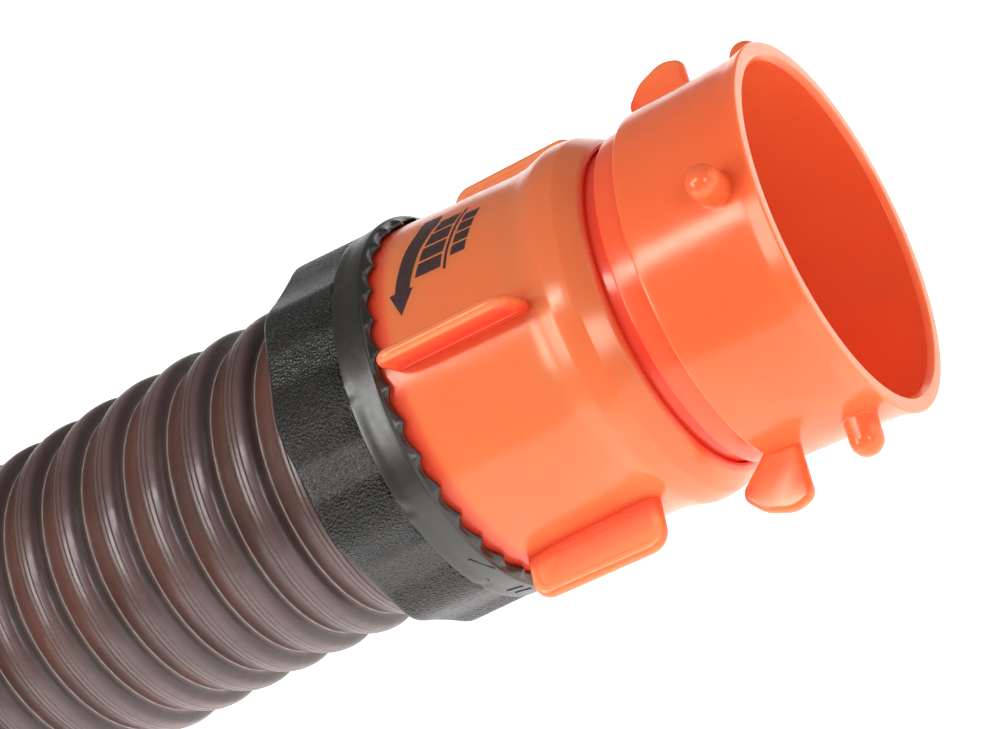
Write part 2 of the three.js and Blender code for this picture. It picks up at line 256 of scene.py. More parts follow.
def centripetal(points, steps):
    """A centripetal Catmull-Rom curve through the points, with steps points for each stretch."""
    p = np.array(points, float)
    p = np.vstack([2 * p[0] - p[1], p, 2 * p[-1] - p[-2]])
    curve = []
    for i in range(1, len(p) - 2):
        p0, p1, p2, p3 = p[i - 1 : i + 3]
        d0, d1, d2 = (math.sqrt(np.linalg.norm(b - a)) for a, b in ((p0, p1), (p1, p2), (p2, p3)))
        t1 = ((p1 - p0) / d0 - (p2 - p0) / (d0 + d1) + (p2 - p1) / d1) * d1
        t2 = ((p2 - p1) / d1 - (p3 - p1) / (d1 + d2) + (p3 - p2) / d2) * d1
        for t in np.arange(steps) / steps:
            curve.append(
                (2 * t**3 - 3 * t**2 + 1) * p1
                + (t**3 - 2 * t**2 + t) * t1
                + (3 * t**2 - 2 * t**3) * p2
                + (t**3 - t**2) * t2
            )
    curve.append(p[-2])
    return np.array(curve)


# ---- Closed shapes about a fitting's axis ----
# A shape is its points in millimetres, with x = minus the depth, and its faces.


def about_axis(depth, radius, clock):
    """The points at these depths, radii and clocks."""
    angle = np.radians(clock)
    return np.stack([-depth, radius * np.cos(angle), radius * np.sin(angle)], axis=-1)


def wrapped(grid, close_rows=True, close_columns=True, caps=False):
    """A grid of points as a closed skin, joined round its rows and columns, or capped at both ends."""
    rows, columns = grid.shape[:2]
    i = np.arange(rows if close_rows else rows - 1)[:, None]
    j = np.arange(columns if close_columns else columns - 1)[None, :]
    up, along = (i + 1) % rows, (j + 1) % columns
    corners = [i * columns + j, i * columns + along, up * columns + along, up * columns + j]
    faces = np.stack([c + 0 * (i + j) for c in corners], axis=-1).reshape(-1, 4)
    points = grid.reshape(-1, 3)
    quads = points[faces]
    normals = np.cross(quads[:, 2] - quads[:, 0], quads[:, 3] - quads[:, 1])
    faces = [tuple(face) for face in faces.tolist()]
    if caps:
        faces.append(tuple(reversed(range(columns))))
        faces.append(tuple(range((rows - 1) * columns, rows * columns)))
    if (normals * (quads.mean(axis=1) - points.mean(axis=0))).sum() < 0:
        faces = [tuple(reversed(face)) for face in faces]
    return points, faces


def turned(outline, columns, change=None):
    """A closed outline of (depth, radius) points turned about the axis. change may move the points."""
    clock = np.arange(columns)[None, :] * 360 / columns
    depth = outline[:, :1] + 0 * clock
    radius = outline[:, 1:] + 0 * clock
    clock = clock + 0 * depth
    if change:
        depth, radius = change(depth, radius, clock)
    return wrapped(about_axis(depth, radius, clock))


def inset(outline, distance):
    """A closed outline moved inwards by a distance."""
    before, after = np.roll(outline, 1, axis=0), np.roll(outline, -1, axis=0)
    area = np.sum(outline[:, 0] * after[:, 1] - after[:, 0] * outline[:, 1])
    side = 1 if area > 0 else -1

    def normals(a, b):
        edge = (b - a) / np.linalg.norm(b - a, axis=1)[:, None]
        return side * np.stack([-edge[:, 1], edge[:, 0]], axis=-1)

    first, second = normals(before, outline), normals(outline, after)
    middle = first + second
    middle /= np.linalg.norm(middle, axis=1)[:, None]
    stretch = np.clip(np.sum(middle * first, axis=1), 0.5, 1)
    return outline + middle * (distance / stretch)[:, None]


def quarter_turn(count):
    """Evenly spaced angles from 0 to a right angle, in radians."""
    return np.linspace(0, math.pi / 2, count)


def plate(outline, thickness, clock, edge=1.4):
    """A radial plate with rounded edges."""
    half = thickness / 2
    loops = [(edge * (1 - math.cos(a)), half - edge + edge * math.sin(a)) for a in quarter_turn(6)]
    return radial([(distance, -height) for distance, height in reversed(loops)] + loops, outline, clock)


def radial(loops, outline, clock):
    """A closed skin through copies of an outline in the plane at a clock.

    Each loop says how far its copy is moved inwards, and how far it stands off the plane.
    """
    rings = []
    for distance, height in loops:
        ring = inset(outline, distance) if distance else outline
        rings.append(np.column_stack([-ring[:, 0], ring[:, 1], height + 0 * ring[:, 0]]))
    points, faces = wrapped(np.array(rings), close_rows=False, caps=True)
    return points @ np.array(Matrix.Rotation(math.radians(clock), 3, "X")).T, faces


def web_cuts(outline, thickness, clock, sink=0.22, slope=0.35, past=0.1):
    """The two shallow sloping-sided cuts that leave a raised border round a plate's web."""
    half = thickness / 2
    above = [(slope, half - sink), (0.0, half + past)]
    below = [(0.0, -half - past), (slope, sink - half)]
    return [radial(loops, outline, clock) for loops in (above, below)]


def stud(depth, clock, radius, foot_r, tip_r, foot=0.5, root=1.5, columns=40):
    """A round radial peg with a domed tip and a flared foot that goes into the wall."""
    profile = [(radius + foot, foot_r - root)]
    for a in quarter_turn(6):
        profile.append((radius + foot * (1 - math.sin(a)), foot_r + foot * (1 - math.cos(a))))
    for a in quarter_turn(9)[:-1]:
        profile.append((radius * math.cos(a), tip_r - radius + radius * math.sin(a)))
    turn = np.arange(columns) * 2 * math.pi / columns
    rows = []
    for r, height in profile:
        rows.append(np.column_stack([-depth + r * np.cos(turn), height + 0 * turn, r * np.sin(turn)]))
    points, faces = wrapped(np.array(rows), close_rows=False, caps=True)
    return points @ np.array(Matrix.Rotation(math.radians(clock), 3, "X")).T, faces


def sector(outline, from_clock, to_clock, rounding=0.8, step=2.0):
    """A closed (depth, radius) outline swept round part of a turn, with rounded ends."""
    mean_r = outline[:, 1].mean()
    ends = []
    for a in np.linspace(math.pi / 2, 0, 4):
        back, inward = rounding * (1 - math.sin(a)), rounding * (1 - math.cos(a))
        ends.append((inward, math.degrees(back / mean_r)))
    count = max(2, round((to_clock - from_clock) / step))
    middle = [(0.0, clock) for clock in np.linspace(from_clock, to_clock, count + 1)[1:-1]]
    first = [(inward, from_clock + turn) for inward, turn in reversed(ends)]
    last = [(inward, to_clock - turn) for inward, turn in ends]
    sections = []
    for inward, clock in [*first, *middle, *last]:
        section = inset(outline, inward) if inward else outline
        sections.append(about_axis(section[:, 0], section[:, 1], clock + 0 * section[:, 0]))
    return wrapped(np.array(sections), close_rows=False, caps=True)


def block(inner_r, outer_r, from_clock, to_clock, from_depth, to_depth):
    """A plain piece of a ring."""
    outline = [(from_depth, inner_r), (from_depth, outer_r), (to_depth, outer_r), (to_depth, inner_r)]
    return sector(np.array(outline), from_clock, to_clock, rounding=0.0)


def strip(clocks, near, far, radius, below=-0.02, above=0.06, across=6):
    """A thin patch on a surface, between two depths that may change along it; it may stand just clear."""
    clocks, near, far = (np.array(x, float) for x in (clocks, near, far))
    share = np.linspace(0, 1, across)[:, None]
    depth = near * (1 - share) + far * share
    low = about_axis(depth, radius(depth) - below, clocks + 0 * depth)
    high = about_axis(depth, radius(depth) + above, clocks + 0 * depth)
    loop = np.concatenate([low, high[::-1]])
    return wrapped(loop.transpose(1, 0, 2), close_rows=False, caps=True)


def together(shapes):
    """Several separate shapes as one."""
    points, faces = [], []
    for more_points, more_faces in shapes:
        start = sum(len(p) for p in points)
        points.append(more_points)
        faces += [tuple(start + corner for corner in face) for face in more_faces]
    return np.concatenate(points), faces


# ---- Pieces ----


class Fitting:
    """Where a fitting is: its axis and the plane of its mouth, taken from its swivelling part."""

    def __init__(self, end, swivel_node):
        low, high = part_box(swivel_node)
        self.end = end
        self.origin = np.array((high.x, (low.y + high.y) / 2, (low.z + high.z) / 2))


def raw_object(name, shape):
    """A mesh object of a shape, as it is."""
    mesh = bpy.data.meshes.new(name)
    points, faces = shape
    mesh.from_pydata(points.tolist(), [], faces)
    mesh.update()
    thing = bpy.data.objects.new(name, mesh)
    bpy.context.scene.collection.objects.link(thing)
    return thing


def combined(name, shape, added=(), removed=()):
    """One solid: a shape with others joined to it and cut out of it."""
    thing = raw_object(name, shape)
    tools = []
    for operation, others in (("UNION", added), ("DIFFERENCE", removed)):
        for other in others:
            tool = raw_object("tool", other)
            tools.append(tool)
            change = thing.modifiers.new("change", "BOOLEAN")
            change.operation = operation
            change.solver = "MANIFOLD"
            change.object = tool
    if tools:
        bpy.context.view_layer.update()
        graph = bpy.context.evaluated_depsgraph_get()
        final = bpy.data.meshes.new_from_object(thing.evaluated_get(graph))
        thing.modifiers.clear()
        thing.data = final
        final.name = name
    for tool in tools:
        bpy.data.objects.remove(tool)
    return thing


def set_attribute(mesh, name, values):
    """Stores one number for each point, which a material can read."""
    attribute = mesh.attributes.new(name, "FLOAT", "POINT")
    attribute.data.foreach_set("value", np.asarray(values, np.float32))


def local_places(mesh):
    """Each point's depth, radius and clock."""
    co = np.zeros(len(mesh.vertices) * 3)
    mesh.vertices.foreach_get("co", co)
    x, y, z = co.reshape(-1, 3).T
    return -x, np.hypot(y, z), np.degrees(np.arctan2(z, y)) % 360


def finished(thing, fitting, body, material, nodes=(), masks=None):
    """Shades, places and declares a piece made about a fitting's axis."""
    mesh = thing.data
    for name, mask in (masks or {}).items():
        set_attribute(mesh, name, mask(*local_places(mesh)))
    mesh.transform(Matrix.Translation(Vector(fitting.origin)) @ Matrix.Scale(MM, 4))
    mesh.polygons.foreach_set("use_smooth", [True] * len(mesh.polygons))
    mesh.set_sharp_from_angle(angle=math.radians(SHARP_DEGREES))
    mesh.materials.clear()
    mesh.materials.append(material)
    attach(thing, body)
    if nodes:
        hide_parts(*nodes)
    return thing


# The outer walls, as (depth, radius) points.
BODY_PROFILE = centripetal([
    (49.4, 45.5), (51.8, 45.85), (54.6, 45.95), (57.4, 45.3), (61, 44.35),
    (66, 44.0), (76, 44.4), (88, 44.9), (96.6, 45.5),
], PROFILE_STEPS)
BARREL_PROFILE = centripetal([
    (0.5, RIM_R), (2.2, 45.85), (5, 45.2), (12, 44.9), (22, 44.65), (32.6, BARREL_R),
], PROFILE_STEPS)
COLLAR_PROFILE = centripetal([
    (COUPLING_FACE + 5, COUPLING_COLLAR_R), (25, 47.5), (32.6, 46.6),
], PROFILE_STEPS)


def along(profile):
    """The radius of a profile at a depth."""
    return lambda depth: np.interp(depth, profile[:, 0], profile[:, 1])


def wall(corners):
    """A fitting's wall, from the rounded corners of its section."""
    return turned(divided(rounded(corners), WALL_SPACING), WALL_COLUMNS)


def turned_down(profile):
    """A profile as corners that aren't rounded."""
    return [(depth, radius, 0) for depth, radius in profile]


# The neck that turns inside the body, from behind the swivel to its end, and back along its bore.
NECK = [
    (NECK_FRONT, NECK_BAND_R, 0.5),
    (NECK_STEP, NECK_BAND_R - 0.1, 0.7),
    (NECK_STEP, NECK_R, 0.3),
    (WIRE_GROOVE[0], NECK_R, 0),
    (WIRE_GROOVE[0], NECK_R - 1, 0),
    (WIRE_GROOVE[1], NECK_R - 1, 0),
    (WIRE_GROOVE[1], NECK_R, 0),
    (NECK_BACK, NECK_R, 0.4),
    (NECK_BACK, NECK_BORE_R, 0.4),
    (NECK_STEP, NECK_BORE_R, 1.0),
]


def tab_outline(from_depth, to_depth, foot_r, tip_r, corner):
    """A plate's outline: its foot is buried in the wall, and its outer corners are round."""
    corners = [
        (to_depth, foot_r, 0),
        (from_depth, foot_r, 0),
        (from_depth, tip_r, corner),
        (to_depth, tip_r, corner),
    ]
    return divided(rounded(corners, steps=10), 1.2)


def ear_outline(surface):
    """An ear's outline: it leans back past the barrel's edge, and its foot is buried in the wall."""
    middle = EAR_FRONT + 4
    corners = [
        *EAR_TIP,
        (BARREL_BACK, 42.8, 0),
        (middle, surface(middle) - FOOT_SINK, 0),
        (EAR_FRONT, surface(EAR_FRONT) - FOOT_SINK, 0),
    ]
    return divided(rounded(corners, steps=9), 1.0)


def swivel_painted_shade(depth, radius, clock):
    """How much painted shade deepens a swivel's colour to red on its back edge and along its neck."""
    back_edge = 0.35 * smooth(depth, 33, 34.5) * smooth(-radius, -48, -44)
    return back_edge + 0.6 * smooth(depth, NECK_STEP - 1, NECK_STEP)


def barrel_piece(fitting):
    """The bayonet barrel with its ears, its pegs and the neck that turns in the body."""
    surface = along(BARREL_PROFILE)
    shell = wall([
        (1.5, 42, 0.4),
        (0, RIM_R - 3.3, 0.5),
        (0, RIM_R - 0.4, 0.4),
        *turned_down(BARREL_PROFILE),
        (BARREL_BACK, BARREL_R - 0.2, 0.6),
        (BARREL_BACK, NECK_BAND_R, 0.5),
        *NECK,
        (33, 40.6, 1.0),
    ])
    ears = [plate(ear_outline(surface), EAR_THICKNESS, clock) for clock in EAR_CLOCKS]
    pegs = [stud(PEG_DEPTH, clock, PEG_R, surface(PEG_DEPTH) - 0.05, PEG_TIP_R) for clock in PEG_CLOCKS]
    thing = combined("bayonet_barrel_shell", shell, [*ears, *pegs])
    # Painted shade: deeper red on the back edge, along the neck and inside the mouth. Painted light: a paler
    # mouth face and paler tips on the ears and pegs.
    masks = {
        "painted_shade": lambda d, r, c: swivel_painted_shade(d, r, c)
        + 0.15 * smooth(-r, -43.2, -42.4) * smooth(-d, -33, -30),
        "pale_and_painted_light": lambda d, r, c: 0.45 * smooth(-d, -0.6, -0.1) + 0.3 * smooth(r, 54, 57),
    }
    nodes = ["bayonet_barrel"]
    return finished(thing, fitting, "bayonet_swivel", SWIVEL_PLASTIC, nodes, masks)


def coupling_piece(fitting):
    """The lug coupling: a flange with two hooks, two handles and the neck that turns in the body."""
    shell = wall([
        (GASKET_SEAT_DEPTH, COUPLING_BORE_R, 0.5),
        (GASKET_SEAT_DEPTH, GASKET_SEAT_R, 0.3),
        (COUPLING_FACE, GASKET_SEAT_R, 0.4),
        (COUPLING_FACE, COUPLING_FLANGE_R, 0.7),
        (COUPLING_FACE + 5, COUPLING_FLANGE_R, 0.7),
        (COUPLING_FACE + 5, COUPLING_COLLAR_R, 1.2),
        *turned_down(COLLAR_PROFILE[1:]),
        (34, 46.4, 0.7),
        (34, NECK_BAND_R, 0.5),
        *NECK,
        (33, COUPLING_BORE_R, 1.0),
    ])
    hook = divided(rounded([
        (0, HOOK_LIP_R, 0.9),
        (0, HOOK_R, 1.6),
        (COUPLING_FACE + 5, HOOK_R, 1.2),
        (COUPLING_FACE + 5, HOOK_INNER_R, 0.4),
        (HOOK_THICKNESS, HOOK_INNER_R, 1.2),
        (HOOK_THICKNESS, HOOK_LIP_R, 0.9),
    ]), WALL_SPACING)
    hooks = [sector(hook, clock - HOOK_HALF_SPAN, clock + HOOK_HALF_SPAN) for clock in HOOK_CLOCKS]
    handle = tab_outline(COUPLING_FACE + 1, HANDLE_BACK, HANDLE_FOOT_R, HOOK_R - 0.5, HANDLE_CORNER)
    handles = [plate(handle, HANDLE_THICKNESS, clock) for clock in HANDLE_CLOCKS]
    thing = combined("lug_coupling_shell", shell, [*hooks, *handles])
    # Painted shade: deeper red on the back edge and along the neck. Painted light: paler tips on the hooks
    # and handles.
    masks = {
        "painted_shade": swivel_painted_shade,
        "pale_and_painted_light": lambda d, r, c: 0.4 * smooth(r, 54, 57),
    }
    nodes = ["lug_coupling"]
    return finished(thing, fitting, "lug_swivel", SWIVEL_PLASTIC, nodes, masks)


def from_nearest_fin(clock):
    """Degrees from the middle of the nearest fin."""
    away = np.stack([(clock - fin + 180) % 360 - 180 for fin in FIN_CLOCKS])
    return np.take_along_axis(away, np.abs(away).argmin(axis=0)[None], axis=0)[0]


def beside_fins(depth, clock):
    """1 at the roots of the fins, falling to 0 a little way off on the body."""
    front, back = FIN_DEPTHS
    along_fin = smooth(depth, front - 2, front + 1) * smooth(-depth, -back - 1, -back + 2)
    return smooth(-np.abs(from_nearest_fin(clock)), -6.5, -2.2) * along_fin


def fin_side(depth, radius, clock, surface, facing):
    """1 on the sides of the fins that face up (facing = 1) or down (facing = -1)."""
    away = from_nearest_fin(clock)
    across = radius * np.sin(np.radians(away))
    up = np.sign(away) * np.cos(np.radians(clock))
    off_wall = smooth(radius, surface(depth) + 0.2, surface(depth) + 1.2)
    below_tip = smooth(-radius, -FIN_TIP_R + 0.8, -FIN_TIP_R + 1.4)
    return off_wall * below_tip * smooth(np.abs(across), 0.8, 1.2) * (up * facing > 0)


def body_piece(fitting):
    """A fitting's body: its nose, four fins, the sleeve that the ring locks on, and the bore inside."""
    surface = along(BODY_PROFILE)
    shell = wall([
        (BODY_FRONT, NECK_R + 0.4, 0.3),
        (BODY_FRONT, 41.3, 0.5),
        (44.4, 42.5, 0.8),
        (46.4, 43.8, 4.0),
        (48.9, 45.3, 0.6),
        *turned_down(BODY_PROFILE),
        (SLEEVE_STEP, SLEEVE_R, 0.4),
        (SLEEVE_STEP, SLEEVE_TAIL_R, 0.4),
        (SLEEVE_BACK, SLEEVE_TAIL_R, 0.4),
        (SLEEVE_BACK, SOCKET_R, 0.4),
        (SOCKET_FRONT, SOCKET_R, 0.3),
        (SOCKET_FRONT, BORE_R, 0.4),
        (SEAL_SPACE[1], BORE_R, 0.4),
        (SEAL_SPACE[1], SEAL_SPACE_R, 0.3),
        (SEAL_SPACE[0], SEAL_SPACE_R, 0.3),
        (SEAL_SPACE[0], NECK_R + 0.4, 0.3),
    ])
    fin = tab_outline(*FIN_DEPTHS, FIN_FOOT_R, FIN_TIP_R, FIN_CORNER)
    fins = [plate(fin, FIN_THICKNESS, clock) for clock in FIN_CLOCKS]
    front, back = FIN_DEPTHS
    web = tab_outline(front + FIN_BORDER, back - FIN_BORDER, FIN_WEB_R, FIN_TIP_R - FIN_BORDER, 2.6)
    cuts = [cut for clock in FIN_CLOCKS for cut in web_cuts(web, FIN_THICKNESS, clock)]
    lugs = [
        block(SLEEVE_R - 1, LUG_R, clock - LUG_HALF_SPAN, clock + LUG_HALF_SPAN, *LUG_DEPTHS)
        for clock in LUG_CLOCKS
    ]
    thing = combined(f"{fitting.end}_body_shell", shell, [*fins, *lugs], cuts)
    # Painted shade: deeper red next to the ring, on the nose's front face, beside the roots of the fins and
    # on the fins' undersides. Painted light: paler fin tips and paler upper sides of the fins.
    masks = {
        "painted_shade": lambda d, r, c: smooth(d, 94.5, 98.0) * smooth(-r, -47, -45.8)
        + smooth(-d, -BODY_FRONT - 1, -BODY_FRONT)
        + 0.75 * beside_fins(d, c) * smooth(-r, -50, -46.5)
        + 0.6 * fin_side(d, r, c, surface, -1),
        "pale_and_painted_light": lambda d, r, c: 0.3 * smooth(r, 55.2, 56.2) + 0.8 * fin_side(d, r, c, surface, 1),
    }
    nodes = [f"{fitting.end}_fitting_body"]
    return finished(thing, fitting, "hose", BODY_PLASTIC, nodes, masks)


def band_radius(depth):
    """The smooth band narrows towards the grip."""
    return np.interp(depth, (RING_BAND_FRONT, RING_STEP), (RING_BAND_R, RING_STEP_R))


def lobe_wave(clock):
    """1 on a lobe's crest and -1 in the dip between two; the dips are broader than the crests."""
    wave = np.cos(np.radians(LOBES * (clock - LOBE_CLOCK)))
    return wave - 0.22 * (1 - wave**2)


def tooth_wave(clock):
    """1 at the points of the toothed rim and 0 between them; a tooth rises more steeply on one side."""
    t = (clock - TOOTH_CLOCK) * RIM_TEETH / 360 % 1
    steep = TOOTH_STEEP_SHARE
    falling = 1 - np.sin(t / steep * math.pi / 2)
    rising = 1 - np.cos((t - steep) / (1 - steep) * math.pi / 2)
    return np.where(t < steep, falling, rising)


def ring_shape(depth, radius, clock):
    """Gives the plain ring its lobes, the lip between two of them, and the teeth of its front rim."""
    outer = smooth(radius, RING_TAIL_INNER_R + 0.5, RING_TAIL_INNER_R + 1.2)
    on_grip = smooth(depth, RING_STEP + 0.1, RING_STEP + 0.5)
    back = 1 - GRIP_TAPER * smooth(depth, RING_BACK - 1.5, RING_BACK)
    widening = GRIP_WIDENING * ((depth - RING_STEP) / (RING_BACK - RING_STEP) - 0.5)
    crest = np.exp(-((1 - lobe_wave(clock)) / 0.08))
    lip = LIP_HEIGHT * (1 - crest) * smooth(depth, RING_STEP - 3.2, RING_STEP - 0.4) * (1 - on_grip)
    radius = radius + outer * (on_grip * (back * LOBE_HEIGHT * lobe_wave(clock) + widening) + lip)
    front = smooth(-depth, -RING_FRONT - 2.0, -RING_FRONT)
    depth = depth + front * TOOTH_DEPTH * (1 - tooth_wave(clock))
    return depth, radius


def ring_marks():
    """A small raised arrow on the band, pointing the way that the ring turns, and two bars behind it."""
    tip = (191.0, 104.2)
    raised = {"below": 0.2, "above": 0.22}
    shapes = []
    for clock, depth in ((198.2, 101.4), (203.7, 106.1)):
        clocks, depths = (tip[0], clock), np.array((tip[1], depth))
        shapes.append(strip(clocks, depths - 0.3, depths + 0.3, band_radius, **raised))
    for clock in (214, 218.5):
        shapes.append(strip((clock, clock + 0.9), (102.4, 102.4), (106.6, 106.6), band_radius, **raised))
    return shapes


def ring_piece(fitting):
    """A locking ring, with pockets inside for the body's lugs."""
    outline = rounded([
        (RING_FRONT, RING_INNER_R, 0.3),
        (RING_FRONT, 46.8, 0.15),
        (RING_FRONT + 0.45, 47.35, 0.15),
        (RING_BAND_FRONT - 0.35, 48.25, 0.25),
        (RING_BAND_FRONT, RING_BAND_R, 0.35),
        (RING_STEP, RING_STEP_R, 0.25),
        (RING_STEP + 0.45, LOBE_MEAN_R, 0.15),
        (RING_BACK - 0.2, LOBE_MEAN_R, 1.5),
        (RING_BACK, 45.4, 0.5),
        (RING_BACK, HOSE_R + 0.8, 0.6),
        (RING_BACK - 1.9, HOSE_R + 0.8, 0.4),
        (RING_BACK - 1.9, RING_TAIL_INNER_R, 0.6),
        (SLEEVE_STEP + 0.6, RING_TAIL_INNER_R, 0.3),
        (SLEEVE_STEP + 0.6, RING_INNER_R, 0.3),
    ])
    reach = LUG_HALF_SPAN + 1
    front, back = LUG_DEPTHS[0] - 0.4, LUG_DEPTHS[1] + 0.4
    pockets = []
    for clock in LUG_CLOCKS:
        pockets.append(block(45, POCKET_R, clock - UNLOCK_TURN - reach, clock + reach, front, back))
        entry = (clock - UNLOCK_TURN - reach, clock - UNLOCK_TURN + reach)
        pockets.append(block(45, POCKET_R - 0.02, *entry, RING_FRONT - 1, front + 0.8))
    shape = turned(divided(outline, RING_SPACING), RING_COLUMNS, ring_shape)
    thing = combined(f"{fitting.end}_ring_shell", shape, ring_marks(), pockets)
    masks = {
        "grain": lambda d, r, c: smooth(d, RING_STEP + 0.3, RING_STEP + 1.2)
        * smooth(-d, -RING_BACK + 0.4, -RING_BACK + 1.5)
        * (0.25 + 0.75 * smooth(lobe_wave(c), -0.9, -0.3))
        * smooth(r, 45.2, 45.6),
    }
    nodes = [f"{fitting.end}_locking_ring"]
    return finished(thing, fitting, f"{fitting.end}_ring", RING_PLASTIC, nodes, masks)


def body_print(fitting):
    """The printing on the body: a curved arrow for the way the ring locks, and plain blocks beside a rule.

    The arrow's two edges and the rule are depths that change with the clock.
    """
    surface = along(BODY_PROFILE)

    def near_edge(clock):
        return np.interp(clock, (80.7, 85.7, 93.4, 100.6, 106.7), (82.6, 84.2, 86.5, 87.8, 88.9))

    def far_edge(clock):
        return np.interp(clock, (72.6, 83.1, 90.7, 97.8, 104.2, 107.9), (87.1, 88.6, 90.5, 91.6, 92.5, 92.9))

    def rule(clock):
        return np.interp(clock, (81, 85.4, 93.4, 100, 106), (74.8, 76.2, 77.6, 78.7, 79.3))

    bend = np.linspace(76, 107.3, 14)
    head = np.linspace(107.5, 115.5, 6)
    near = [*near_edge(bend), *np.linspace(88.0, 91.65, 6)]
    far = [*far_edge(bend), *np.linspace(94.3, 91.75, 6)]
    shapes = [strip([*bend, *head], near, far, surface)]
    clocks = np.linspace(80, 106, 12)
    shapes.append(strip(clocks, rule(clocks) - 0.35, rule(clocks) + 0.35, surface))
    for start in (81.5, 87.5, 93.5, 99.5):
        clocks = np.linspace(start, start + 5, 4)
        shapes.append(strip(clocks, rule(clocks) + 1.2, near_edge(clocks) - 1.2, surface))
    for start in (84, 88.7, 93.4, 98.1):
        clocks = np.linspace(start, start + 3.8, 4)
        shapes.append(strip(clocks, rule(clocks) - 5.2, rule(clocks) - 1.3, surface))
    thing = combined(f"{fitting.end}_body_print_detail", together(shapes))
    return finished(thing, fitting, "hose", PRINT_INK)


def rubber_ring(fitting, name, body, size, bead=0.0):
    """A flat rubber ring with softened edges, and a raised bead on its front face if it has one."""
    inner_r, outer_r, front, back = size
    middle = (inner_r + outer_r) / 2
    corners = [
        (front + bead, inner_r, 0.25),
        (front + bead, outer_r, 0.25),
        (back, outer_r, 0.25),
        (back, inner_r, 0.25),
    ]
    if bead:
        corners[1:1] = [
            (front + bead, middle - 1.4, 0.3),
            (front, middle - 0.6, 0.3),
            (front, middle + 0.6, 0.3),
            (front + bead, middle + 1.4, 0.3),
        ]
    thing = combined(f"{name}_detail", turned(divided(rounded(corners), WASHER_SPACING), WASHER_COLUMNS))
    return finished(thing, fitting, body, SEAL_RUBBER, [name])


def retaining_ring_piece(fitting):
    """A split ring of flat wire that keeps the neck in the body."""
    (front, back), (inner_r, outer_r) = WIRE_DEPTHS, WIRE_R
    corners = [(front, inner_r), (front, outer_r), (back, outer_r), (back, inner_r)]
    wire = rounded([(*corner, 0.2) for corner in corners])
    shape = sector(wire, WIRE_HALF_GAP, 360 - WIRE_HALF_GAP, rounding=0.3)
    name = f"{fitting.end}_retaining_ring"
    thing = combined(f"{name}_detail", shape)
    return finished(thing, fitting, f"{fitting.end}_swivel", SPRING_STEEL, [name])


def clamp_piece(fitting, half, from_clock):
    """Half of a collar, with a rib inside that grips the hose."""
    front, back = CLAMP_DEPTHS
    collar = divided(rounded([
        (front, SOCKET_R, 0.3),
        (front, CLAMP_R, 0.5),
        (back, CLAMP_R, 0.5),
        (back, SOCKET_R, 0.3),
        (CLAMP_RIB_DEPTH + 1.8, SOCKET_R, 0.2),
        (CLAMP_RIB_DEPTH + 1, HOSE_R + 0.15, 0.2),
        (CLAMP_RIB_DEPTH - 1, HOSE_R + 0.15, 0.2),
        (CLAMP_RIB_DEPTH - 1.8, SOCKET_R, 0.2),
    ]), WALL_SPACING)
    gap = 0.8
    shape = sector(collar, from_clock + gap, from_clock + 180 - gap, rounding=0.3)
    name = f"{fitting.end}_clamp_{half}"
    thing = combined(f"{name}_detail", shape)
    return finished(thing, fitting, "hose", CLAMP_NYLON, [name])


# ---- The hose ----


def hose_route():
    """The whole centreline in metres, from inside one fitting to inside the other, at even steps."""
    low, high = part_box("bayonet_barrel")
    start_x = high.x - HOSE_START_DEPTH * MM
    points = [(start_x, 0, BAYONET_HEIGHT), *HOSE_ROUTE, (start_x, RETURN_Y, LUG_END_HEIGHT)]
    curve = centripetal(points, 40)
    steps = np.linalg.norm(np.diff(curve, axis=0), axis=1)
    return curve, np.concatenate([[0], np.cumsum(steps)])


# One turn of the hose's wall: (part of a turn, share of the height). It is steep on the side towards the
# bayonet fitting and flatter on the other.
CONVOLUTION = centripetal([
    (0, 0), (0.03, 0.2), (0.09, 0.62), (0.16, 0.88), (0.27, 0.995), (0.38, 0.99),
    (0.5, 0.92), (0.58, 0.8), (0.76, 0.47), (0.93, 0.14), (1, 0),
], PROFILE_STEPS)


def convolution(turns):
    """The hose's outer radius at a count of turns of its helix."""
    share = np.interp(np.asarray(turns) % 1, CONVOLUTION[:, 0], CONVOLUTION[:, 1])
    return HOSE_VALLEY_R + (HOSE_R - HOSE_VALLEY_R) * share


# The fine stretch's turns, and the rings per turn and points per ring of each stretch.
FINE_TURNS = 12
FINE_SAMPLES = 36
FINE_COLUMNS = 112
COARSE_SAMPLES = 7
COARSE_COLUMNS = 28
INNER_RINGS = 100


